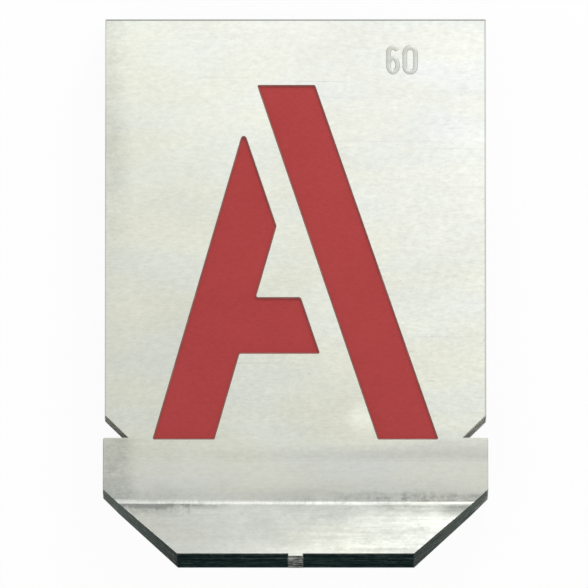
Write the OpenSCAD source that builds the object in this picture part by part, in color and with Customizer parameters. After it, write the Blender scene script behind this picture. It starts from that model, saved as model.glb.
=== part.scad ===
// Nested set of sheet-metal lettering stencils, one capital to a plate.
// A red card lies behind the front plate.
// The set lies on its back: +X right, +Y towards the head of the letters, +Z out of the lettered faces.
// The origin is on the resting plane, under the middle of the stack.

/* [Plate] */
// width of the lettered body
plate_w = 63.6; // [62:0.2:72]
// metal above the head of the letter
head_margin = 11.1; // [6:0.1:16]
// thickness of the sheet
sheet_t = 0.25; // [0.2:0.01:0.32]
// clear air between two nested plates
stack_gap = 0.07; // [0.06:0.01:0.12]
// how far each ear stands out past the side of the body
ear_proud = 0.3; // [0.1:0.05:1]
// how far a plate in the stack may sit off line, sideways
stray = 0.12; // [0:0.01:0.3]

/* [Letter] */
// height of the capitals
letter_h = 60; // [54:1:64]
// overall width of the round and square capitals
letter_w = 43; // [40:0.5:45]
// overall width of the widest capitals
wide_letter_w = 47.9; // [46:0.1:49]
// width of an upright stroke
stroke_w = 9.3; // [8.5:0.1:10.5]
// width of the metal bridges that hold the counters
bridge_w = 4.4; // [3.5:0.1:5.5]
// radius at the corners of the cut
corner_r = 0.25; // [0.15:0.05:0.6]
// radius where the cut runs into a point or turns on itself
worn_r = 0.5; // [0.3:0.05:0.9]
// how much shorter the arms of the open capitals are than the full width
arm_short = 4; // [2:0.5:6]

/* [Plug notches] */
// how far a notch runs in from the side
notch_in = 3.9; // [3:0.1:4.5]
// how far up the side its slope runs
notch_rise = 3.8; // [3:0.1:5]
// height of the ear's top edge above the foot of the letter
ear_top = 0.3; // [0:0.1:1]

/* [Grip flap] */
// from the foot of the letter to where the band starts to rise
band_start = 0.5; // [0.4:0.1:1]
// radius of that soft bend
band_r = 12; // [8:0.5:14]
// rise of the front plate's band
front_rise = 16; // [11:0.5:17]
// rise of the rear plate's band
rear_rise = 1; // [0.5:0.5:3]
// from the foot of the letter down to the crease, along the sheet
crease_drop = 11.2; // [10:0.1:13]
// inside radius of the crease
crease_r = 0.8; // [0.5:0.1:1.5]
// length of the flap from the crease to its free edge
flap_len = 10.1; // [9:0.1:11]
// lift of the front plate's flap
front_lift = 24; // [23:0.5:30]
// lift of the rear plate's flap
rear_lift = 17; // [12:0.5:18]
// leg of the corner cut, along the side and along the free edge
corner_cut = 12.35; // [12.1:0.05:13]
// width of the nib in the middle of the free edge
nib_w = 2.4; // [1.5:0.1:4]
// how far the nib stands out on the front plate
nib_out = 0.45; // [0.2:0.05:1]
// how far the nib stands out on the rear plate
rear_nib_out = 0.05; // [0.03:0.01:0.15]

/* [Card] */
// width of the red card
card_w = 55; // [52:0.5:56]
// height of the red card
card_h = 66; // [63:0.5:69]
// thickness of the red card
card_t = 0.3; // [0.2:0.05:0.5]
// how far the card reaches below the foot of the letter
card_drop = 1.2; // [0.8:0.1:1.4]

/* [Hidden] */
$fn = 64;
capitals = "ABCDEFGHIJKLMNOPQRSTUVWXYZ";
plates = len(capitals);
pitch = sheet_t + stack_gap;
card_z = (plates - 1) * pitch;
head_y = letter_h + head_margin;
body_x = plate_w / 2;
ear_x = body_x + ear_proud;
cut_up = corner_cut - flap_len;
mid_r = crease_r + sheet_t / 2;
// how far a cutting form runs past what it cuts, and into the next cut
over = 2;
lap = 0.3;

// short names for the capitals: height, stroke, bridge, left, right, half of the widest, leaning stroke
H = letter_h;
S = stroke_w;
B = bridge_w;
L = -letter_w / 2;
R = letter_w / 2;
W = wide_letter_w / 2;
G = S * 1.06;

// outlines with softened corners

function unit(v) = v / norm(v);

// points of one softened corner at b, between a and c
function soft(a, b, c, r) =
    let (p = unit(a - b), q = unit(c - b), half = acos(p * q) / 2)
    let (m = b + unit(p + q) * r / sin(half), s = b + p * r / tan(half) - m)
    let (turn = (p[0] * q[1] - p[1] * q[0] > 0 ? -1 : 1) * (180 - 2 * half))
    [for (i = [0:3]) let (w = turn * i / 3)
        m + [s[0] * cos(w) - s[1] * sin(w), s[0] * sin(w) + s[1] * cos(w)]];

// an outline with every corner softened, those in worn more than the others
function softened(pts, worn) =
    [for (i = [0:len(pts) - 1])
        each soft(
            pts[(i + len(pts) - 1) % len(pts)], pts[i], pts[(i + 1) % len(pts)],
            len(search(i, worn)) > 0 ? worn_r : corner_r
        )];

// where the line through a and b crosses the line through c and d
function meet(a, b, c, d) =
    let (u = b - a, v = d - c, w = c - a)
    a + u * (w[0] * v[1] - w[1] * v[0]) / (u[0] * v[1] - u[1] * v[0]);

// the point at height y on the line through a and b
function at_y(a, b, y) = a + (b - a) * (y - a[1]) / (b[1] - a[1]);

module cut(pts, worn = []) polygon(softened(pts, worn));

module bar(x0, y0, x1, y1) cut([[x0, y0], [x1, y0], [x1, y1], [x0, y1]]);

// a leaning stroke of level width w, from x0 at height y0 to x1 at height y1
module lean(x0, y0, x1, y1, w) cut([[x0, y0], [x0 + w, y0], [x1 + w, y1], [x1, y1]]);

// a plain rectangle, left out where a bowl leaves no room for it
module block(x0, y0, x1, y1)
    if (x1 - x0 > 0.01 && y1 - y0 > 0.01)
        translate([x0, y0]) square([x1 - x0, y1 - y0]);

module round_block(x0, y0, x1, y1, r) {
    for (x = [x0 + r, x1 - r], y = [y0 + r, y1 - r])
        translate([x, y]) circle(r);
    block(x0 + r, y0, x1 - r, y1);
    block(x0, y0 + r, x1, y1 - r);
}

// a closed bowl of stroke width S
module bowl(x0, y0, x1, y1, r)
    difference() {
        round_block(x0, y0, x1, y1, r);
        round_block(x0 + S, y0 + S, x1 - S, y1 - S, r - S);
    }

// the right half of a bowl, from x0 on, fed by level strokes
module half_bowl(x0, y0, x1, y1, r)
    difference() {
        bowl(x0 - 2 * r, y0, x1, y1, r);
        block(x0 - 2 * r - over, y0 - over, x0, y1 + over);
    }

// the capitals, each with its foot on y = 0

module capital_a() {
    // the left leg and the cross stroke stop a bridge short of the right leg
    edge_a = [W - G * 1.035, 0];
    edge_b = edge_a + [-0.337, 1] * H;
    gap_a = edge_a - [B * 1.08, 0];
    gap_b = edge_b - [B * 1.08, 0];
    out_a = [-W, 0];
    out_b = out_a + [0.29, 1] * H;
    in_a = out_a + [G * 1.056, 0];
    in_b = in_a + [0.288, 1] * H;
    bar_low = H * 0.2412;
    bar_high = bar_low + S * 1.031;
    cut([edge_a, [W, 0], edge_b + [G * 0.99, 0], edge_b]);
    cut([
        out_a, in_a, at_y(in_a, in_b, bar_low), at_y(gap_a, gap_b, bar_low),
        at_y(gap_a, gap_b, bar_high), at_y(in_a, in_b, bar_high),
        meet(in_a, in_b, gap_a, gap_b), meet(out_a, out_b, gap_a, gap_b)
    ], [4, 6, 7]);
}

module capital_b() {
    waist = H * 0.44;
    start = L + S + B;
    bar(L, 0, L + S, H);
    half_bowl(start, 0, R, waist + S, (waist + S) / 2);
    half_bowl(start, waist, R - 2, H, (H - waist) / 2);
}

module capital_c()
    difference() {
        bowl(L, 0, R, H, letter_w / 2);
        block(2, H * 0.37, R + over, H * 0.63);
    }

module capital_d() {
    bar(L, 0, L + S, H);
    half_bowl(L + S + B, 0, R, H, letter_w / 2);
}

module capital_e() {
    bar(L, 0, L + S, H);
    bar(L, 0, R - arm_short, S);
    bar(L, (H - S) / 2, R - 2 * arm_short, (H + S) / 2);
    bar(L, H - S, R - arm_short, H);
}

module capital_f() {
    bar(L, 0, L + S, H);
    bar(L, (H - S) / 2 - arm_short / 2, R - 2 * arm_short, (H + S - arm_short) / 2);
    bar(L, H - S, R - arm_short, H);
}

module capital_g() {
    difference() {
        bowl(L, 0, R, H, letter_w / 2);
        block(2, H * 0.45, R + over, H * 0.64);
    }
    bar(2, H * 0.45 - S, R, H * 0.45);
}

module capital_h() {
    bar(L, 0, L + S, H);
    bar(R - S, 0, R, H);
    bar(L, (H - S) / 2, R, (H + S) / 2);
}

module capital_i() bar(-S / 2, 0, S / 2, H);

module capital_j() {
    bar(R - S - arm_short, H * 0.3, R - arm_short, H);
    difference() {
        bowl(L + arm_short, 0, R - arm_short, H, letter_w / 2 - arm_short);
        block(L, H * 0.36, R, H + over);
    }
}

module capital_k() {
    bar(L, 0, L + S, H);
    cut([[L + S - 1, H * 0.34], [R, H], [R - G * 1.25, H], [L + S - 1, H * 0.58]]);
    cut([[R - G * 1.1, 0], [R + 1, 0], [-1, H * 0.66], [-7, H * 0.5]]);
}

module capital_l() {
    bar(L, 0, L + S, H);
    bar(L, 0, R - arm_short, S);
}

module capital_m() {
    bar(-W, 0, -W + S, H);
    bar(W - S, 0, W, H);
    lean(-G / 2, H * 0.27, -W, H, G);
    lean(-G / 2, H * 0.27, W - G, H, G);
}

module capital_n() {
    bar(L, 0, L + S, H);
    bar(R - S, 0, R, H);
    lean(R - G * 1.1, 0, L, H, G * 1.1);
}

module capital_o()
    difference() {
        bowl(L, 0, R, H, letter_w / 2);
        block(-B / 2, -over, B / 2, H + over);
    }

module capital_p() {
    bar(L, 0, L + S, H);
    half_bowl(L + S + B, H * 0.4, R, H, H * 0.3);
}

module capital_q() {
    // the tail runs out square to the lower right curve and ends flat on the foot line
    run = [1, -1] / sqrt(2);
    half = [1, 1] / sqrt(2) * S / 2;
    near = [0, R] + run * (R - S - 3);
    far = near + run * (S + 9) + half;
    capital_o();
    cut([
        near - half, at_y(near - half, near - half + run, 0),
        at_y(far, far - half, 0), far, near + half
    ]);
}

module capital_r() {
    capital_p();
    lean(R - G * 1.05, 0, 0, H * 0.45, G);
}

module capital_s() {
    mid = (H - S) / 2;
    r = (mid + S) / 2;
    difference() {
        bowl(L + 1, mid, R - 1, H, r);
        block(R - 1 - r, mid - over, R + over, H * 0.76);
    }
    difference() {
        bowl(L + 1, 0, R - 1, mid + S, r);
        block(L - over, H * 0.24, L + 1 + r, mid + S + over);
    }
    block(L + 1 + r - 0.5, mid, R - 1 - r + 0.5, mid + S);
}

module capital_t() {
    bar(L, H - S, R, H);
    bar(-S / 2, 0, S / 2, H);
}

module capital_u() {
    bar(L, letter_w / 2 - 1, L + S, H);
    bar(R - S, letter_w / 2 - 1, R, H);
    difference() {
        bowl(L, 0, R, H, letter_w / 2);
        block(L - over, letter_w / 2, R + over, H + over);
    }
}

module capital_v() {
    lean(-G / 2, 0, L - 1, H, G);
    lean(-G / 2, 0, R + 1 - G, H, G);
}

module capital_w() {
    foot = W * 0.52;
    for (side = [0, 1])
        mirror([side, 0]) {
            lean(-foot - S / 2, 0, -W, H, S);
            lean(-foot - S / 2, 0, -S / 2, H, S);
        }
}

module capital_x() {
    lean(L - 1, 0, R + 1 - G * 1.1, H, G * 1.1);
    lean(R + 1 - G * 1.1, 0, L - 1, H, G * 1.1);
}

module capital_y() {
    fork = H * 0.42;
    bar(-S / 2, 0, S / 2, fork + 1);
    for (side = [0, 1])
        mirror([side, 0])
            cut([[-S / 2, fork], [S / 2, fork], [L - 1 + S * 1.15, H], [L - 1, H]]);
}

module capital_z() {
    bar(L + 1, 0, R - 1, S);
    bar(L + 1, H - S, R - 1, H);
    cut([[L + 1, 2], [L + 1 + G * 1.3, 2], [R - 1, H - 2], [R - 1 - G * 1.3, H - 2]]);
}

// the plate that every capital is cut from, with the foot of the letter on y = 0

// place of a capital in the stack, counted from the rear plate up
function place(capital) = plates - 1 - search(capital, capitals)[0];

// a value of plate k, spread evenly from the rear plate to the front plate
function spread(rear, front, k) = rear + (front - rear) * k / (plates - 1);
function rise(k) = spread(rear_rise, front_rise, k);
function lift(k) = spread(rear_lift, front_lift, k);

// height of the underside of plate k
function floor_z(k) = k * pitch + (k == plates - 1 ? card_t + stack_gap : 0);

// sideways place of plate k; the front plate sits on the middle line
function stray_x(k) = stray * sin(77 * (plates - 1 - k));

// how far the nib of plate k stands out
function nib(k) = spread(rear_nib_out, nib_out, k);

// where the sheet is raised by angle w: the way it runs, and the way its upper face looks
function along(w) = [-cos(w), sin(w)];
function above(w) = [sin(w), cos(w)];

// centres of the soft bend and of the crease, and the corner that the crease rounds off, as [y, z]
function bend_centre() = [-band_start, sheet_t / 2 + band_r];
function corner(k) =
    bend_centre() - band_r * above(rise(k))
    + along(rise(k)) * (crease_drop - band_start - band_r * rise(k) * PI / 180);
function crease_centre(k) =
    let (back = mid_r * tan((lift(k) - rise(k)) / 2))
    corner(k) - back * along(rise(k)) + mid_r * above(rise(k));
function free_edge(k) = corner(k) + (flap_len + nib(k)) * along(lift(k));

foot_y = -(head_y + free_edge(0)[0]) / 2;

// one face of plate k from the soft bend to the free edge, side * sheet_t / 2 off the middle of the sheet
function face(k, side) =
    let (d = side * sheet_t / 2, steps = 5)
    concat(
        [for (i = [0:steps]) bend_centre() - (band_r - d) * above(rise(k) * i / steps)],
        [for (i = [0:steps]) let (w = rise(k) + (lift(k) - rise(k)) * i / steps)
            crease_centre(k) - (mid_r - d) * above(w)],
        [free_edge(k) + d * above(lift(k))]
    );

// section through plate k, seen along its width
module section(k) {
    under = face(k, -1);
    polygon(concat(
        [[head_y, 0], [head_y, sheet_t]], face(k, 1),
        [for (i = [len(under) - 1:-1:0]) under[i]]
    ));
}

// one notch, with the strip beside the body that the ears stand out of
module side_cut()
    polygon([
        [ear_x + over, head_y + over], [body_x, head_y + over], [body_x, ear_top + notch_rise],
        [body_x - notch_in, ear_top], [ear_x + over, ear_top]
    ]);

// the start of the corner cut, above the crease
module corner_start()
    polygon([
        [ear_x + over, cut_up + over], [ear_x - cut_up - lap, -lap], [ear_x + over, -lap]
    ]);

// the rest of it, on the flap, with the free edge beside the nib
module corner_rest()
    polygon([
        [ear_x - cut_up, 0], [ear_x - corner_cut, -flap_len], [nib_w / 2, -flap_len],
        [nib_w / 2, -flap_len - over], [ear_x + over, -flap_len - over], [ear_x + over, lap],
        [ear_x - cut_up + lap, lap]
    ]);

// a cutting form standing square through the sheet where it is raised by angle w about the crease of plate k
module through(k, w)
    translate([0, corner(k)[0], corner(k)[1]])
        rotate([-w, 0, 0])
            translate([0, 0, -over]) linear_extrude(2 * over) children();

module plate(capital) {
    k = place(capital);
    color([0.84, 0.85, 0.8])
    translate([stray_x(k), foot_y, floor_z(k)])
    difference() {
        rotate([90, 0, 90])
            translate([0, 0, -ear_x])
                linear_extrude(2 * ear_x) section(k);
        for (side = [0, 1])
            mirror([side, 0, 0]) {
                translate([0, 0, -over]) linear_extrude(sheet_t + 2 * over) side_cut();
                through(k, rise(k)) corner_start();
                through(k, lift(k)) corner_rest();
            }
        translate([0, 0, -over]) linear_extrude(sheet_t + 2 * over) children();
    }
}

// the pieces, front to rear

module stencil_a() plate("A") capital_a();
module stencil_b() plate("B") capital_b();
module stencil_c() plate("C") capital_c();
module stencil_d() plate("D") capital_d();
module stencil_e() plate("E") capital_e();
module stencil_f() plate("F") capital_f();
module stencil_g() plate("G") capital_g();
module stencil_h() plate("H") capital_h();
module stencil_i() plate("I") capital_i();
module stencil_j() plate("J") capital_j();
module stencil_k() plate("K") capital_k();
module stencil_l() plate("L") capital_l();
module stencil_m() plate("M") capital_m();
module stencil_n() plate("N") capital_n();
module stencil_o() plate("O") capital_o();
module stencil_p() plate("P") capital_p();
module stencil_q() plate("Q") capital_q();
module stencil_r() plate("R") capital_r();
module stencil_s() plate("S") capital_s();
module stencil_t() plate("T") capital_t();
module stencil_u() plate("U") capital_u();
module stencil_v() plate("V") capital_v();
module stencil_w() plate("W") capital_w();
module stencil_x() plate("X") capital_x();
module stencil_y() plate("Y") capital_y();
module stencil_z() plate("Z") capital_z();

// the card lies loose between the front plate and the next, clear of the notches
module red_card()
    color([0.7, 0.25, 0.25])
    translate([-card_w / 2, foot_y - card_drop, card_z])
        cube([card_w, card_h, card_t]);

stencil_a();
stencil_b();
stencil_c();
stencil_d();
stencil_e();
stencil_f();
stencil_g();
stencil_h();
stencil_i();
stencil_j();
stencil_k();
stencil_l();
stencil_m();
stencil_n();
stencil_o();
stencil_p();
stencil_q();
stencil_r();
stencil_s();
stencil_t();
stencil_u();
stencil_v();
stencil_w();
stencil_x();
stencil_y();
stencil_z();
red_card();
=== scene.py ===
import math

import bmesh
import bpy
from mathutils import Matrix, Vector


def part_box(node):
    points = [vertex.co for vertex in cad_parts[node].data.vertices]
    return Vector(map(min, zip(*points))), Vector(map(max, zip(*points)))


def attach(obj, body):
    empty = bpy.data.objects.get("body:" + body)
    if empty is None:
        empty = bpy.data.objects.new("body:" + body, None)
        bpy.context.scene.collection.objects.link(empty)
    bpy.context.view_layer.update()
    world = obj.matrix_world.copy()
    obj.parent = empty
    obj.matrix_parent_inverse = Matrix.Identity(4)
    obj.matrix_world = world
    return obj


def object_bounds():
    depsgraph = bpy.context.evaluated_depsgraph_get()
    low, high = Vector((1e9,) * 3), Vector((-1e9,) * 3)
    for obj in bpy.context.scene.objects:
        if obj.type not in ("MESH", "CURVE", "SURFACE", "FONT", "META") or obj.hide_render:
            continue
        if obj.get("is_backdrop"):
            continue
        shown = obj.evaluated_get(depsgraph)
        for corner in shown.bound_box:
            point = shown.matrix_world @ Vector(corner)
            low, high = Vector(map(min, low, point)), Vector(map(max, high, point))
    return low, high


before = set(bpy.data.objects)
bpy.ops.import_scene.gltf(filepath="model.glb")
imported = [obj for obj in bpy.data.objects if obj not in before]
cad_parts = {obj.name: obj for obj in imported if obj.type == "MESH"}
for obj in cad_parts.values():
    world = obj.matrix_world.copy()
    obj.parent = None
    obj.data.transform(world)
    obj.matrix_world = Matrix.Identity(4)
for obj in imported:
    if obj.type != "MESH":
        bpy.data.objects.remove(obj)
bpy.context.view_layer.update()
scene = bpy.context.scene
scene.view_settings.view_transform = "Standard"


# The camera stands a long way off, over the front of the stack, and leans a few degrees towards the
# flaps, so the cut edges of the plates behind show under the front plate. Its frame is square.
MM = 0.001
front_plate = "stencil_a"
camera_lean = math.radians(8.2)
camera_reach = 3.0
camera_near, camera_far = 0.1, 20
sensor_width = 36
frame_pixels = 588
pixels_per_metre = 5974.0
aim_right = -0.25 * MM
aim_up = 0.72 * MM

front_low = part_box(front_plate)[0]
back = Vector((0, -math.sin(camera_lean), math.cos(camera_lean)))
up = Vector((0, math.cos(camera_lean), math.sin(camera_lean)))
lens = bpy.data.cameras.new("camera")
lens.sensor_width = sensor_width
lens.lens = sensor_width * (camera_reach - front_low.z) / (frame_pixels / pixels_per_metre)
lens.clip_start = camera_near
lens.clip_end = camera_far
camera = bpy.data.objects.new("camera", lens)
camera.location = Vector((aim_right, 0, 0)) + up * aim_up + back * camera_reach
camera.rotation_euler = (camera_lean, 0, 0)
scene.collection.objects.link(camera)
scene.camera = camera


# The floor is a plain white sheet, lit evenly. The camera and the metal see it and the room as white,
# and it keeps the soft shadow that the stack throws.
def node_of(tree, kind, **settings):
    """A new node of the kind, with its settings."""
    made = tree.nodes.new(kind)
    for name, value in settings.items():
        setattr(made, name, value)
    return made


def seen_directly(tree):
    """1 for what the camera sees, straight or in a gloss, and 0 for the light that falls on things."""
    path = node_of(tree, "ShaderNodeLightPath")
    total = path.outputs["Is Camera Ray"]
    for ray in ("Is Glossy Ray", "Is Transmission Ray"):
        most = node_of(tree, "ShaderNodeMath", operation="MAXIMUM")
        tree.links.new(total, most.inputs[0])
        tree.links.new(path.outputs[ray], most.inputs[1])
        total = most.outputs[0]
    return total


room_seen = 1.0
room_light = 0.72
world = bpy.data.worlds.new("studio")
world.use_nodes = True
scene.world = world
tree = world.node_tree
tree.nodes.clear()
seen = node_of(tree, "ShaderNodeBackground")
seen.inputs["Strength"].default_value = room_seen
lit = node_of(tree, "ShaderNodeBackground")
lit.inputs["Strength"].default_value = room_light
either = node_of(tree, "ShaderNodeMixShader")
result = node_of(tree, "ShaderNodeOutputWorld")
tree.links.new(seen_directly(tree), either.inputs["Fac"])
tree.links.new(lit.outputs[0], either.inputs[1])
tree.links.new(seen.outputs[0], either.inputs[2])
tree.links.new(either.outputs[0], result.inputs["Surface"])

floor_half = 0.5
floor_drop = 0.05 * MM
floor_colour = (0.96, 0.96, 0.96, 1)
floor_glow = 0.95
mesh = bpy.data.meshes.new("floor")
shape = bmesh.new()
bmesh.ops.create_grid(shape, x_segments=1, y_segments=1, size=floor_half)
shape.to_mesh(mesh)
shape.free()
floor = bpy.data.objects.new("floor", mesh)
floor.location.z = -floor_drop
scene.collection.objects.link(floor)
floor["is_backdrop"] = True

paper = bpy.data.materials.new("floor_white")
paper.use_nodes = True
tree = paper.node_tree
tree.nodes.clear()
matte = node_of(tree, "ShaderNodeBsdfDiffuse")
matte.inputs["Color"].default_value = floor_colour
glow = node_of(tree, "ShaderNodeEmission")
either = node_of(tree, "ShaderNodeMixShader")
share = node_of(tree, "ShaderNodeMath", operation="MULTIPLY")
share.inputs[1].default_value = floor_glow
result = node_of(tree, "ShaderNodeOutputMaterial")
tree.links.new(seen_directly(tree), share.inputs[0])
tree.links.new(share.outputs[0], either.inputs["Fac"])
tree.links.new(matte.outputs[0], either.inputs[1])
tree.links.new(glow.outputs[0], either.inputs[2])
tree.links.new(either.outputs[0], result.inputs["Surface"])
mesh.materials.append(paper)


# Three soft boxes: one above the right side of the plates, which lifts the tone of the flat metal on
# that side, one low beyond the head, which the lifted flaps face, and a weak fill from the left.
def soft_box(name, place, size, watts, aim=(0, 0, 0)):
    """A square lamp that faces the point it is aimed at."""
    light = bpy.data.lights.new(name, "AREA")
    light.shape = "SQUARE"
    light.size = size
    light.energy = watts
    lamp = bpy.data.objects.new(name, light)
    lamp.location = place
    lamp.rotation_euler = (Vector(place) - Vector(aim)).to_track_quat("Z", "Y").to_euler()
    scene.collection.objects.link(lamp)


soft_box("body_box", place=(0.15, 0.03, 0.42), size=0.20, watts=0.15)
soft_box("flap_box", place=(0.088, 0.25, 0.155), size=0.08, watts=0.32, aim=(0.01, -0.04, 0.01))
soft_box("fill_box", place=(-0.45, -0.15, 0.45), size=0.40, watts=0.25)


# Rolled sheet: pale zinc-grey metal with the fine, broken lines of the mill running across the plate,
# a dull mottle and broad cloudy patches, and short dark nicks and scratches from years in a box.
def group_of(name, inputs, outputs):
    """A new node group, with its input and output nodes."""
    made = bpy.data.node_groups.new(name, "ShaderNodeTree")
    for label, kind, value in inputs:
        socket = made.interface.new_socket(label, in_out="INPUT", socket_type=kind)
        if value is not None:
            socket.default_value = value
    for label, kind in outputs:
        made.interface.new_socket(label, in_out="OUTPUT", socket_type=kind)
    return made, node_of(made, "NodeGroupInput"), node_of(made, "NodeGroupOutput")


def math_of(tree, operation, first, second=None, clamp=False):
    """A sum of one or two values, each a number or another node's output."""
    made = node_of(tree, "ShaderNodeMath", operation=operation, use_clamp=clamp)
    for socket, value in zip(made.inputs, (first, second)):
        if isinstance(value, (int, float)):
            socket.default_value = value
        elif value is not None:
            tree.links.new(value, socket)
    return made.outputs[0]


def total_of(tree, *values):
    """All the values added up."""
    total = values[0]
    for value in values[1:]:
        total = math_of(tree, "ADD", total, value)
    return total


def product_of(tree, *values):
    """All the values multiplied."""
    product = values[0]
    for value in values[1:]:
        product = math_of(tree, "MULTIPLY", product, value)
    return product


def streaks(tree, place, seed, per_metre, detail=2.0, rough=0.6, turn=0.0):
    """Noise with its own scale per metre along each axis, about -0.5 to 0.5."""
    shift = node_of(tree, "ShaderNodeMapping", vector_type="POINT")
    shift.inputs["Rotation"].default_value = (0, 0, turn)
    shift.inputs["Scale"].default_value = per_metre
    noise = node_of(tree, "ShaderNodeTexNoise", noise_dimensions="4D")
    noise.inputs["Scale"].default_value = 1.0
    noise.inputs["Detail"].default_value = detail
    noise.inputs["Roughness"].default_value = rough
    tree.links.new(place, shift.inputs["Vector"])
    tree.links.new(shift.outputs[0], noise.inputs["Vector"])
    if isinstance(seed, (int, float)):
        noise.inputs["W"].default_value = seed
    else:
        tree.links.new(seed, noise.inputs["W"])
    return math_of(tree, "SUBTRACT", noise.outputs["Fac"], 0.5)


def ramp_of(tree, value, low, high, from_value=0.0, to_value=1.0):
    """A smooth step of the value from low to high; low may be the larger of the two."""
    made = node_of(tree, "ShaderNodeMapRange", interpolation_type="SMOOTHSTEP")
    if low > high:
        low, high, from_value, to_value = high, low, to_value, from_value
    made.inputs["From Min"].default_value = low
    made.inputs["From Max"].default_value = high
    made.inputs["To Min"].default_value = from_value
    made.inputs["To Max"].default_value = to_value
    tree.links.new(value, made.inputs["Value"])
    return made.outputs["Result"]


def mix_of(tree, factor, first, second):
    """A colour between two, each given or another node's output."""
    made = node_of(tree, "ShaderNodeMix", data_type="RGBA")
    tree.links.new(factor, made.inputs["Factor"])
    for socket, value in ((made.inputs["A"], first), (made.inputs["B"], second)):
        if isinstance(value, tuple):
            socket.default_value = value
        else:
            tree.links.new(value, socket)
    return made.outputs["Result"]


def tinted(tree, colour, tint):
    """A colour multiplied by another."""
    made = node_of(tree, "ShaderNodeVectorMath", operation="MULTIPLY")
    tree.links.new(colour, made.inputs[0])
    tree.links.new(tint, made.inputs[1])
    return made.outputs[0]


def toned(tree, colour, tone):
    """A colour made lighter or darker by one factor."""
    made = node_of(tree, "ShaderNodeVectorMath", operation="SCALE")
    tree.links.new(colour, made.inputs[0])
    tree.links.new(tone, made.inputs["Scale"])
    return made.outputs[0]


fine_share, broad_share, grain_share = 0.30, 0.09, 0.34
cloud_share = 0.26
speck_from, scratch_from, nick_full = 0.15, 0.22, 0.27
nick_darkens, nick_dulls, nick_sinks = 0.15, 0.12, 0.8
line_shines, patch_shines = -0.4, -0.15
rolled_roughness = 0.34
warm_spread = 0.18
warm_metal = (1.0, 1.0, 0.97, 1)
cold_metal = (0.985, 1.0, 1.03, 1)

rolled, rolled_in, rolled_out = group_of(
    "rolled_sheet",
    [("Place", "NodeSocketVector", None), ("Seed", "NodeSocketFloat", 0.0),
     ("Metal", "NodeSocketColor", (0.7, 0.7, 0.65, 1)), ("Lines", "NodeSocketFloat", 1.0),
     ("Clouds", "NodeSocketFloat", 1.0), ("Nicks", "NodeSocketFloat", 1.0)],
    [("Color", "NodeSocketColor"), ("Roughness", "NodeSocketFloat"), ("Height", "NodeSocketFloat")])
place, seed = rolled_in.outputs["Place"], rolled_in.outputs["Seed"]
fine = streaks(rolled, place, seed, (700, 2200, 2200), detail=3.0, rough=0.7)
broad = streaks(rolled, place, seed, (30, 560, 560), detail=3.0, rough=0.6)
grain = streaks(rolled, place, seed, (760, 1150, 1150), detail=3.0, rough=0.75)
cloud = streaks(rolled, place, seed, (60, 95, 95), detail=4.0, rough=0.55)
warm = streaks(rolled, place, seed, (45, 130, 130), detail=2.0, rough=0.5)
speck = streaks(rolled, place, seed, (900, 1700, 1700), detail=2.0, rough=0.6, turn=0.12)
long_scratch = streaks(rolled, place, seed, (26, 2600, 2600), detail=1.0, rough=0.5, turn=-0.35)

nick = product_of(rolled, total_of(rolled, ramp_of(rolled, speck, speck_from, nick_full),
                                   ramp_of(rolled, long_scratch, scratch_from, nick_full)),
                  rolled_in.outputs["Nicks"])
lines = product_of(rolled, total_of(rolled, product_of(rolled, fine, fine_share),
                                    product_of(rolled, broad, broad_share),
                                    product_of(rolled, grain, grain_share)),
                   rolled_in.outputs["Lines"])
patches = product_of(rolled, cloud, cloud_share, rolled_in.outputs["Clouds"])
tone = math_of(rolled, "SUBTRACT", total_of(rolled, lines, patches, 1.0),
               product_of(rolled, nick, nick_darkens))
tint = mix_of(rolled, ramp_of(rolled, warm, -warm_spread, warm_spread), warm_metal, cold_metal)
metal = toned(rolled, tinted(rolled, rolled_in.outputs["Metal"], tint), tone)
roughness = total_of(rolled, product_of(rolled, lines, line_shines),
                     product_of(rolled, patches, patch_shines),
                     product_of(rolled, nick, nick_dulls), rolled_roughness)
height = math_of(rolled, "SUBTRACT", fine, product_of(rolled, nick, nick_sinks))
rolled.links.new(metal, rolled_out.inputs["Color"])
rolled.links.new(roughness, rolled_out.inputs["Roughness"])
rolled.links.new(height, rolled_out.inputs["Height"])


# Wear and painted light: grime along the crease and where a thumb holds the left ear; painted shade
# over the lower band, down the left side of the body and along the heel of the flap; a painted
# highlight along the crease; the bare metal painted lighter towards the head, painted darker on the
# bent band below the letter, and painted lighter towards the right of the flap and beside the front
# letter's right foot; and painted shade on the rim where the shears turned the edge.
worn_and_lit, worn_and_lit_in, worn_and_lit_out = group_of(
    "wear_and_painted_light",
    [("Place", "NodeSocketVector", None), ("Seed", "NodeSocketFloat", 0.0),
     ("Crease", "NodeSocketFloat", -36.0 * MM), ("Head", "NodeSocketFloat", 46.1 * MM),
     ("Side", "NodeSocketFloat", 32.0 * MM), ("Foot Glint", "NodeSocketFloat", 0.0)],
    [("Grime And Shade", "NodeSocketFloat"), ("Crease Highlight", "NodeSocketFloat"), ("Rim Shade", "NodeSocketFloat"),
     ("Painted Light", "NodeSocketColor")])
place, seed = worn_and_lit_in.outputs["Place"], worn_and_lit_in.outputs["Seed"]
axes = node_of(worn_and_lit, "ShaderNodeSeparateXYZ")
worn_and_lit.links.new(place, axes.inputs[0])
across, along = axes.outputs["X"], axes.outputs["Y"]


def over(value, start, stop, first=0.0, last=1.0):
    """A smooth step over the sheet, from first at start millimetres to last at stop millimetres."""
    return ramp_of(worn_and_lit, value, start * MM, stop * MM, first, last)


def patchy(noise, low, high, least, most):
    """How strong a stain is, from least where the noise is low to most where it is high."""
    return ramp_of(worn_and_lit, noise, low, high, least, most)


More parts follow.
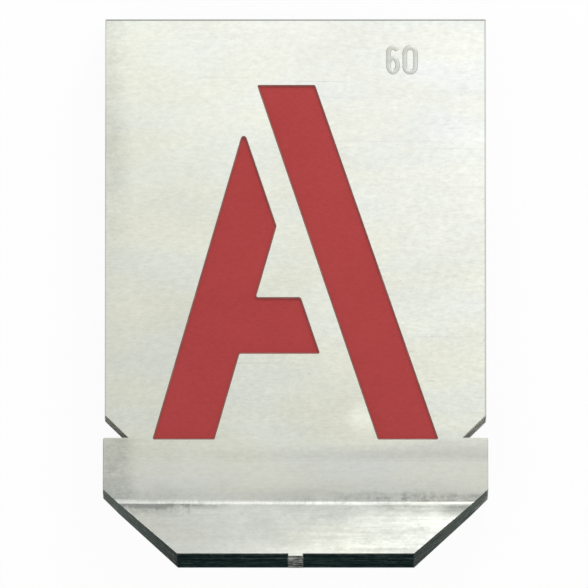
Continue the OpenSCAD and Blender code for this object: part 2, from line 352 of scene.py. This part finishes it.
mottle = streaks(worn_and_lit, place, seed, (1050, 1700, 1700), detail=4.0, rough=0.75)
spell = streaks(worn_and_lit, place, seed, (150, 150, 150), detail=2.0, rough=0.5)
drawn = streaks(worn_and_lit, place, seed, (1500, 520, 520), detail=3.0, rough=0.7)
tide = streaks(worn_and_lit, place, seed, (60, 1300, 1300), detail=3.0, rough=0.6)
waver = streaks(worn_and_lit, place, seed, (160, 10, 10), detail=3.0, rough=0.6)
clump = streaks(worn_and_lit, place, seed, (310, 240, 240), detail=1.0, rough=0.5)
blotch = total_of(worn_and_lit, mottle, spell)
blotch_drawn = total_of(worn_and_lit, blotch, drawn)
clump_share = 1.2
clumped = total_of(worn_and_lit, blotch_drawn, product_of(worn_and_lit, clump, clump_share))

# The stains and the painted light and shade follow the crease at a slight slant and in a wavering line.
# Distances from it are positive towards the letter and negative on the flap.
crease_skew = 0.0065
waver_reach = 0.45 * MM
from_crease = total_of(worn_and_lit, math_of(worn_and_lit, "SUBTRACT", along, worn_and_lit_in.outputs["Crease"]),
                       product_of(worn_and_lit, across, crease_skew),
                       product_of(worn_and_lit, waver, waver_reach))

# A thin veil over the lower band, partly smudge and partly painted shade where the band bends towards
# the crease, and the darker line in it that fades out to the left.
veil_and_shade = product_of(worn_and_lit, over(from_crease, 5.2, 0.2),
                  patchy(total_of(worn_and_lit, blotch, tide), -0.40, 0.40, 0.34, 0.82),
                  over(across, -10, 14, 0.50, 1.0),
                  over(across, 28, 20, 0.60, 1.05),
                  over(across, -30, -26, 0.15, 1.0))
above_line = product_of(worn_and_lit, over(from_crease, 2.6, 0.8), over(from_crease, 0.15, 0.40),
                        patchy(blotch_drawn, -0.30, 0.35, 0.16, 0.84),
                        over(across, -6, 28, 0.15, 1.2))

# Spots under the crease that fade out to the right, and their smear at the left corner.
under_crease = over(from_crease, -0.36, -0.62)
below_line = product_of(worn_and_lit, over(from_crease, -1.7, -0.5), under_crease,
                        patchy(clumped, -0.34, 0.30, 0.04, 0.88),
                        over(across, 4, -23, 0.18, 1.0))
smear = product_of(worn_and_lit, over(from_crease, -3.4, -1.0), under_crease,
                   over(across, -15.5, -19),
                   patchy(clumped, -0.24, 0.30, 0.0, 0.66))

# A soft painted shade along the heel of the flap on the right, strongest in the corner.
heel = product_of(worn_and_lit, over(from_crease, 0.15, -0.35), total_of(
    worn_and_lit,
    product_of(worn_and_lit, over(from_crease, -3.2, -0.6), over(across, 4, 27, 0.03, 0.36)),
    product_of(worn_and_lit, over(from_crease, -4.6, -1.0), over(across, 23.2, 26.2, 0.0, 0.55))))

# Grime on the left ear, where the plate is held, and painted shade down the left side of the body.
on_band = product_of(worn_and_lit, over(from_crease, -0.2, 0.5), over(from_crease, 11.6, 10.4))
thumbed = product_of(worn_and_lit, on_band,
                     total_of(worn_and_lit, over(across, -25.5, -29.5), over(across, -14, -22, 0.0, 0.20)),
                     patchy(blotch, -0.35, 0.35, 0.26, 0.82))
left_side_shade = product_of(worn_and_lit, over(across, -26.5, -30.5), over(along, 5, 16, 0.2, 1.0),
                       patchy(blotch, -0.3, 0.3, 0.05, 0.42))

# Grime and painted shade summed into one mask, which darkens the metal.
most_grime_and_shade = 1.33
grime_and_shade = total_of(worn_and_lit, veil_and_shade, above_line, below_line, smear, heel, thumbed, left_side_shade)
worn_and_lit.links.new(math_of(worn_and_lit, "MINIMUM", grime_and_shade, most_grime_and_shade), worn_and_lit_out.inputs["Grime And Shade"])

# The crease itself, with a painted highlight in a broken line that is weaker to the right.
painted_crease_line = product_of(worn_and_lit, over(from_crease, 0.42, -0.02), over(from_crease, -0.60, -0.16),
                       patchy(total_of(worn_and_lit, drawn, spell), 0.30, -0.30, 0.10, 1.0),
                       over(across, -4, 18, 0.85, 0.25))
worn_and_lit.links.new(painted_crease_line, worn_and_lit_out.inputs["Crease Highlight"])

# Painted light on the bare metal: lighter towards the head, most at its left corner.
tone_start, tone_end = 12 * MM, 82 * MM
foot_tone, head_tone = 0.97, 1.27
tone_slant = 0.15
tone_datum = 36 * MM
painted_head_light = node_of(worn_and_lit, "ShaderNodeMapRange")
painted_head_light.inputs["From Min"].default_value = tone_start
painted_head_light.inputs["From Max"].default_value = tone_end
painted_head_light.inputs["To Min"].default_value = foot_tone
painted_head_light.inputs["To Max"].default_value = head_tone
worn_and_lit.links.new(total_of(worn_and_lit, along, product_of(worn_and_lit, across, tone_slant), tone_datum),
                  painted_head_light.inputs["Value"])
head_corner = product_of(worn_and_lit, over(along, 15, 42), over(across, 22, -22, -0.05, 0.09))

# Painted shade on the bent metal below the letter, reaching further up on the right, and on the flap
# painted light: darker on the left and lighter, as a painted reflection, towards its right corner.
corner_slant = -2.5
band_end = over(across, 4, 26, -0.9 * MM, 2.2 * MM)
band_and_flap = over(math_of(worn_and_lit, "SUBTRACT", from_crease, band_end), 12.0, 7.0)
band_shade = product_of(worn_and_lit, band_and_flap, over(across, -18, 28, -0.05, -0.155))
to_corner = total_of(worn_and_lit, across, product_of(worn_and_lit, from_crease, corner_slant))
flap_light_and_shade = product_of(worn_and_lit, over(from_crease, -0.2, -0.9), over(to_corner, 4, 36, -0.125, 0.265))

# A painted highlight: the small bright spot beside the front letter's right foot.
foot_place = (11.0 * MM, -21.3 * MM, 8.6 * MM)
foot_spot = node_of(worn_and_lit, "ShaderNodeVectorMath", operation="DISTANCE")
foot_spot.inputs[1].default_value = foot_place
worn_and_lit.links.new(place, foot_spot.inputs[0])
glint = product_of(worn_and_lit, over(foot_spot.outputs["Value"], 3.4, 0.4, 0.0, 0.17),
                   worn_and_lit_in.outputs["Foot Glint"])

plain_tint = (1.0, 1.0, 1.0, 1)
head_tint = (0.995, 0.995, 1.065, 1)
band_flap_tint = (0.975, 0.975, 1.01, 1)
# The painted light and shade of the bare metal, summed into one tone and tinted.
tone = total_of(worn_and_lit, painted_head_light.outputs["Result"], head_corner, band_shade, flap_light_and_shade, glint)
tint = mix_of(worn_and_lit, over(total_of(worn_and_lit, across, along), 0, 55), plain_tint, head_tint)
tint = mix_of(worn_and_lit, band_and_flap, tint, band_flap_tint)
worn_and_lit.links.new(toned(worn_and_lit, tint, tone), worn_and_lit_out.inputs["Painted Light"])

# Painted shade on the rim along the head and the sides of the body, where the sheared edge turns; it is
# hardly seen on the left.
rim_width = 0.22 * MM
left_rim, right_rim = 0.08, 0.34
past_head = math_of(worn_and_lit, "SUBTRACT", along, worn_and_lit_in.outputs["Head"])
past_side = math_of(worn_and_lit, "SUBTRACT", math_of(worn_and_lit, "ABSOLUTE", across),
                    worn_and_lit_in.outputs["Side"])
head_rim = ramp_of(worn_and_lit, past_head, -1.2 * rim_width, -0.5 * rim_width)
side_rim = product_of(worn_and_lit, ramp_of(worn_and_lit, past_side, -rim_width, -0.5 * rim_width),
                      over(across, -1, 1, left_rim, right_rim),
                      over(from_crease, 11.2, 11.6))
worn_and_lit.links.new(math_of(worn_and_lit, "MAXIMUM", head_rim, side_rim), worn_and_lit_out.inputs["Rim Shade"])


def new_material(name):
    """A material with its tree, its Principled surface and the object's own coordinates."""
    made = bpy.data.materials.new(name)
    made.use_nodes = True
    tree = made.node_tree
    return made, tree, tree.nodes["Principled BSDF"], node_of(tree, "ShaderNodeTexCoord")


def bump_of(tree, surface, height, strength, distance):
    """A bump of the height on the surface."""
    bump = node_of(tree, "ShaderNodeBump")
    bump.inputs["Strength"].default_value = strength
    bump.inputs["Distance"].default_value = distance
    tree.links.new(height, bump.inputs["Height"])
    tree.links.new(bump.outputs["Normal"], surface.inputs["Normal"])


sheet_colour = (0.705, 0.715, 0.628, 1)
grime_and_shade_colour = (0.235, 0.245, 0.225, 1)
crease_highlight_colour = (0.86, 0.86, 0.82, 1)
rim_shade_colour = (0.19, 0.20, 0.185, 1)
sheet_metallic = 0.85
grime_and_shade_covers, grime_and_shade_dulls = 0.75, 0.15
crease_line_shines = 0.12
wear_seed_shift = 0.5


def sheet_metal(name, seed, crease, head, side, foot_glint):
    """The faces of a plate: rolled sheet, with wear, grime and painted light and shade over it."""
    made, tree, surface, where = new_material(name)
    surface.inputs["Metallic"].default_value = sheet_metallic
    finish = node_of(tree, "ShaderNodeGroup", node_tree=rolled)
    finish.inputs["Seed"].default_value = seed
    finish.inputs["Metal"].default_value = sheet_colour
    wear_and_light = node_of(tree, "ShaderNodeGroup", node_tree=worn_and_lit)
    wear_and_light.inputs["Seed"].default_value = seed + wear_seed_shift
    wear_and_light.inputs["Crease"].default_value = crease
    wear_and_light.inputs["Head"].default_value = head
    wear_and_light.inputs["Side"].default_value = side
    wear_and_light.inputs["Foot Glint"].default_value = foot_glint
    tree.links.new(where.outputs["Object"], finish.inputs["Place"])
    tree.links.new(where.outputs["Object"], wear_and_light.inputs["Place"])
    grime_and_shade, crease_highlight = wear_and_light.outputs["Grime And Shade"], wear_and_light.outputs["Crease Highlight"]
    # Painted light, grime with painted shade, a painted crease highlight and a painted rim shade, in
    # turn.
    painted_lit = tinted(tree, finish.outputs["Color"], wear_and_light.outputs["Painted Light"])
    dirty_and_shaded = mix_of(tree, product_of(tree, grime_and_shade, grime_and_shade_covers), painted_lit, grime_and_shade_colour)
    # A painted highlight along the crease.
    highlighted = mix_of(tree, crease_highlight, dirty_and_shaded, crease_highlight_colour)
    rim_shaded = mix_of(tree, wear_and_light.outputs["Rim Shade"], highlighted, rim_shade_colour)
    dull = total_of(tree, finish.outputs["Roughness"], product_of(tree, grime_and_shade, grime_and_shade_dulls))
    shiny = math_of(tree, "SUBTRACT", dull, product_of(tree, crease_highlight, crease_line_shines))
    tree.links.new(rim_shaded, surface.inputs["Base Color"])
    tree.links.new(shiny, surface.inputs["Roughness"])
    bump_of(tree, surface, finish.outputs["Height"], strength=0.25, distance=0.02 * MM)
    return made


# Cut edges: the sheared and punched sides of the sheet, dark green-black where oil and oxide stay in
# the break, with painted light on the corner cuts, lighter grey where those faces turn to the light,
# streaked lighter along the sheet where the tool has wiped it. Some plates are less stained than their
# neighbours.
corner_cut_light = (0.235, 0.275, 0.250, 1)
chip_seed_shift = 7.0
chip_share = 0.5
wiped_from = -0.02
edge_roughness = 0.7
corner_in = (19.4 * MM, 20.4 * MM)
corner_above_crease = (5.2 * MM, 4.2 * MM)
corner_light_reach = (20 * MM, 32 * MM)
corner_light_share = (0.30, 0.90)


def cut_edge(name, seed, dark, light, wiped_full=0.22, crease=None):
    """A cut side, streaked from dark to light, with painted light on the corner cuts if a crease is
    given.
    """
    made, tree, surface, where = new_material(name)
    surface.inputs["Specular IOR Level"].default_value = 0.0
    surface.inputs["Roughness"].default_value = edge_roughness
    spot = where.outputs["Object"]
    wiped = streaks(tree, spot, seed, (230, 230, 5200), detail=3.0, rough=0.65)
    chipped = streaks(tree, spot, seed + chip_seed_shift, (900, 900, 900))
    worn = total_of(tree, wiped, product_of(tree, chipped, chip_share))
    colour = mix_of(tree, ramp_of(tree, worn, wiped_from, wiped_full), dark, light)
    if crease is not None:
        axes = node_of(tree, "ShaderNodeSeparateXYZ")
        tree.links.new(spot, axes.inputs[0])
        from_middle = math_of(tree, "ABSOLUTE", axes.outputs["X"])
        past_crease = math_of(tree, "SUBTRACT", axes.outputs["Y"], crease)
        on_corner = product_of(
            tree, ramp_of(tree, from_middle, *corner_in),
            ramp_of(tree, from_middle, *corner_light_reach, *corner_light_share),
            ramp_of(tree, past_crease, *corner_above_crease),
            ramp_of(tree, worn, -0.25, 0.25, 0.35, 1.0))
        # Painted light: the corner cuts are coloured lighter grey, most towards the ears.
        colour = mix_of(tree, on_corner, colour, corner_cut_light)
    tree.links.new(colour, surface.inputs["Base Color"])
    bump_of(tree, surface, worn, strength=0.4, distance=0.02 * MM)
    return made


# Plates: each is one punched and bent sheet, with the rolled finish on its faces, cut edges all round
# and a small nib, filed bright, in the middle of its free edge. They lie nested, with the A in front.
def between(share, first, second):
    """A colour between two."""
    return tuple(a + (b - a) * share for a, b in zip(first, second))


def cleanness(number):
    """How clean a plate's edges are, 0 to 1, in an uneven run through the stack."""
    run = math.sin(1.9 * number) + slow_beat * math.sin(0.83 * number + 1.0)
    return max(0.0, run - stained_below) / (1 + slow_beat - stained_below)


def datum_of(name):
    """A plate's middle across, its foot line along, and the height of its face."""
    low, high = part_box(name)
    return (low.x + high.x) / 2, high.y - head_above_foot, low.z + sheet_t


sheet_t = 0.25 * MM
head_above_foot = 71.1 * MM
front_crease = 10.87 * MM
rear_crease = 11.2 * MM
ear_proud = 0.30 * MM
nib_half = 1.35 * MM
free_edge_depth = 0.1 * MM
side_lean = 0.7
smooth_below = math.radians(35)
slow_beat = 0.7
stained_below = 0.35
sheet_seed_step, edge_seed_step, nib_seed_step = 3.7, 1.9, 2.3
stained_dark = (0.0060, 0.0160, 0.0150, 1)
stained_light = (0.048, 0.080, 0.075, 1)
clean_dark = (0.030, 0.045, 0.042, 1)
clean_light = (0.15, 0.185, 0.175, 1)
nib_dark = (0.05, 0.06, 0.055, 1)
nib_light = (0.50, 0.51, 0.47, 1)

plates = sorted(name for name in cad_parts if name.startswith("stencil_"))
for number, name in enumerate(plates):
    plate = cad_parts[name].data
    low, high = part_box(name)
    middle, foot, face_z = datum_of(name)
    share = number / (len(plates) - 1)
    crease = foot - front_crease * (1 - share) - rear_crease * share
    clean = cleanness(number)
    plate.materials.clear()
    plate.materials.append(sheet_metal(
        f"{name}_sheet", seed=sheet_seed_step * number, crease=crease, head=high.y,
        side=(high.x - low.x) / 2 - ear_proud, foot_glint=float(name == front_plate)))
    plate.materials.append(cut_edge(
        f"{name}_edge", edge_seed_step * number, between(clean, stained_dark, clean_dark),
        between(clean, stained_light, clean_light), crease=crease))
    plate.materials.append(cut_edge(
        f"{name}_nib", nib_seed_step * number, nib_dark, nib_light, wiped_full=0.08))
    free_edge = min(point.co.y for point in plate.vertices if abs(point.co.x - middle) > 2 * nib_half)
    for face in plate.polygons:
        edge = abs(face.normal.z) < side_lean
        nib = edge and (abs(face.center.x - middle) < nib_half
                        and face.center.y < free_edge + free_edge_depth)
        face.material_index = 2 if nib else int(edge)
        face.use_smooth = not edge
    plate.set_sharp_from_angle(angle=smooth_below)


# Punched lip: under the face of each opening the punch leaves a narrow, torn slope that leans into the
# hole. It is part of the same sheet. Its colour is painted shadow, the shade along the edges of the
# opening: reddish brown on the front plate, over the red card, and dark grey on the others.
upright = 0.2
same_height = 0.02 * MM
merge_within = 0.001 * MM
letter_top = 60.5 * MM
letter_half = 25 * MM
same_wall = 0.9999
sharpest_turn = 0.2
longest_lean = 2.2


def rims_opening(side, middle, foot, face_z):
    """True for an edge where the face of the plate meets an upright wall of its letter."""
    if len(side.link_faces) != 2:
        return False
    wall, flat = sorted(abs(face.normal.z) for face in side.link_faces)
    return wall <= upright and flat >= 1 - upright and all(
        abs(corner.co.z - face_z) <= same_height and abs(corner.co.x - middle) <= letter_half
        and foot - MM < corner.co.y < foot + letter_top for corner in side.verts)


def lean_of(corner):
    """The step from a corner of an opening that moves both of its walls one unit into the hole."""
    walls = []
    for face in corner.link_faces:
        if abs(face.normal.z) < upright and all(face.normal.dot(wall) < same_wall for wall in walls):
            walls.append(face.normal.copy())
    if len(walls) < 2:
        return walls[0]
    lean = (walls[0] + walls[1]) / max(sharpest_turn, 1 + walls[0].dot(walls[1]))
    return lean * min(1.0, longest_lean / lean.length)


def sheet_piece(name, shape, material, plate):
    """A piece of a plate's own sheet, which rides the plate."""
    bmesh.ops.recalc_face_normals(shape, faces=shape.faces)
    mesh = bpy.data.meshes.new(name)
    shape.to_mesh(mesh)
    shape.free()
    mesh.materials.append(material)
    made = bpy.data.objects.new(name, mesh)
    scene.collection.objects.link(made)
    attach(made, plate)
    return made


lip_root = 0.01 * MM
lip_reach = 0.24 * MM
lip_top = 0.03 * MM
lip_foot = 0.24 * MM
lip_profile = ((-lip_root, lip_top), (lip_reach, lip_foot), (-lip_root, lip_foot))
red_shadow_dark, red_shadow_light = (0.330, 0.140, 0.122, 1), (0.450, 0.200, 0.178, 1)
grey_shadow_dark, grey_shadow_light = (0.120, 0.115, 0.105, 1), (0.260, 0.250, 0.230, 1)

# Painted shadow along the edges of the openings.
lip_shadow_red = cut_edge("lip_shadow_red", 5.3, red_shadow_dark, red_shadow_light)
lip_shadow_grey = cut_edge("lip_shadow_grey", 6.1, grey_shadow_dark, grey_shadow_light)
for name in plates:
    middle, foot, face_z = datum_of(name)
    sheet = bmesh.new()
    sheet.from_mesh(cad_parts[name].data)
    bmesh.ops.remove_doubles(sheet, verts=sheet.verts, dist=merge_within)
    sheet.normal_update()
    shape = bmesh.new()
    rings = {}
    for side in sheet.edges:
        if not rims_opening(side, middle, foot, face_z):
            continue
        for corner in side.verts:
            if corner not in rings:
                spot, lean = corner.co, lean_of(corner)
                rings[corner] = [
                    shape.verts.new((spot.x + lean.x * step, spot.y + lean.y * step, face_z - drop))
                    for step, drop in lip_profile]
        first, second = (rings[corner] for corner in side.verts)
        for turn in range(len(lip_profile)):
            after = (turn + 1) % len(lip_profile)
            shape.faces.new((first[turn], first[after], second[after], second[turn]))
    sheet.free()
    sheet_piece(f"{name}_punched_lip", shape, lip_shadow_red if name == front_plate else lip_shadow_grey, name)


# The size mark: the height of the letter in millimetres, pressed up from the sheet in narrow figures
# to the right above the letter. It is only a hair high, so that the plates still nest.
def oval(middle, half_width, half_height, start, end, steps):
    """Points along an upright oval, from one clock angle in degrees to another."""
    turns = [math.radians(start + (end - start) * step / steps) for step in range(steps + 1)]
    return [Vector((middle[0] + half_width * math.sin(turn), middle[1] + half_height * math.cos(turn)))
            for turn in turns]


def raised_line(shape, points, closed, width, height, lift):
    """A low rounded ridge along the points, closed underneath, with flat ends."""
    around = 8
    sink = 0.004 * MM
    count = len(points)
    rings = []
    for index, point in enumerate(points):
        after = points[(index + 1) % count] if closed or index < count - 1 else point
        before = points[index - 1] if closed or index > 0 else point
        way = (after - before).normalized()
        side = Vector((-way.y, way.x))
        ring = []
        for turn in range(around + 1):
            angle = math.pi * turn / around
            flat = point + side * (math.cos(angle) * width / 2)
            rise = lift - sink + (height + sink) * math.sin(angle)
            ring.append(shape.verts.new((flat.x, flat.y, rise)))
        rings.append(ring)
    links = count if closed else count - 1
    for index in range(links):
        first, second = rings[index], rings[(index + 1) % count]
        for turn in range(around):
            shape.faces.new((first[turn], second[turn], second[turn + 1], first[turn + 1]))
        shape.faces.new((first[around], second[around], second[0], first[0]))
    if not closed:
        shape.faces.new(rings[0])
        shape.faces.new(list(reversed(rings[-1])))


figure_widths = (2.31 * MM, 2.58 * MM)
figure_h = 4.95 * MM
figure_line = 0.78 * MM
front_relief = 0.10 * MM
nested_relief = 0.03 * MM
mark_right = (16.35 * MM, 19.23 * MM)
mark_up = 61.77 * MM
loop_low, loop_half, stem_foot = 0.42, 0.58, 0.1
mark_smooth_below = math.radians(60)
flank_below, crown_above = 0.62, 0.97
crown_light_colour = (0.60, 0.61, 0.56, 1)
flank_shade_colour = (0.19, 0.20, 0.18, 1)
mark_clouds = 2.0
mark_dulls = 0.22

pressed, tree, surface, where = new_material("pressed_figures")
surface.inputs["Metallic"].default_value = sheet_metallic
finish = node_of(tree, "ShaderNodeGroup", node_tree=rolled)
finish.inputs["Clouds"].default_value = mark_clouds
tree.links.new(where.outputs["Object"], finish.inputs["Place"])
# Painted shade and light: the flanks of each ridge are coloured darker and its crown lighter, by its
# slope.
slope = node_of(tree, "ShaderNodeSeparateXYZ")
tree.links.new(where.outputs["Normal"], slope.inputs[0])
slope_shaded = mix_of(tree, ramp_of(tree, slope.outputs["Z"], flank_below, crown_above),
                 flank_shade_colour, crown_light_colour)
tree.links.new(slope_shaded, finish.inputs["Metal"])
tree.links.new(finish.outputs["Color"], surface.inputs["Base Color"])
tree.links.new(total_of(tree, finish.outputs["Roughness"], mark_dulls), surface.inputs["Roughness"])

six_w, nought_w = ((width - figure_line) / 2 for width in figure_widths)
half_h = (figure_h - figure_line) / 2
for name in plates:
    middle, foot, face_z = datum_of(name)
    ridge = figure_line, front_relief if name == front_plate else nested_relief, face_z
    shape = bmesh.new()
    six, nought = (Vector((middle + right, foot + mark_up + figure_h / 2)) for right in mark_right)
    loop = six - Vector((0, half_h * loop_low))
    crown = six + Vector((0, half_h - six_w))
    stem_end = loop + Vector((-six_w, half_h * stem_foot))
    raised_line(shape, oval(loop, six_w, half_h * loop_half, 0, 345, 23), True, *ridge)
    raised_line(shape, oval(crown, six_w, six_w, 70, -90, 10) + [stem_end], False, *ridge)
    above = nought + Vector((0, half_h - nought_w))
    below = nought - Vector((0, half_h - nought_w))
    ring = oval(above, nought_w, nought_w, -90, 90, 12) + oval(below, nought_w, nought_w, 90, 270, 12)
    raised_line(shape, ring, True, *ridge)
    mark = sheet_piece(f"{name}_size_mark", shape, pressed, name)
    for face in mark.data.polygons:
        face.use_smooth = True
    mark.data.set_sharp_from_angle(angle=mark_smooth_below)


# The card: a loose sheet of red pulp board between the front plate and the next, matte, with a short
# fibre grain and a little fading.
board_dark = (0.405, 0.0435, 0.0445, 1)
board_light = (0.560, 0.078, 0.078, 1)
fibre_share, fade_share = 0.9, 0.6
board_roughness, board_gloss = 0.85, 0.2

board, tree, surface, where = new_material("red_board")
surface.inputs["Roughness"].default_value = board_roughness
surface.inputs["Specular IOR Level"].default_value = board_gloss
fibre = streaks(tree, where.outputs["Object"], 1.0, (1500, 2600, 1500), detail=4.0, rough=0.7)
fade = streaks(tree, where.outputs["Object"], 2.0, (60, 60, 60), detail=3.0)
pulp = math_of(tree, "ADD", total_of(tree, product_of(tree, fibre, fibre_share),
                                     product_of(tree, fade, fade_share)), 0.5, clamp=True)
tree.links.new(mix_of(tree, pulp, board_dark, board_light), surface.inputs["Base Color"])
bump_of(tree, surface, fibre, strength=0.3, distance=0.03 * MM)
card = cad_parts["red_card"].data
card.materials.clear()
card.materials.append(board)


# The size of the finished model.
low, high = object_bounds()
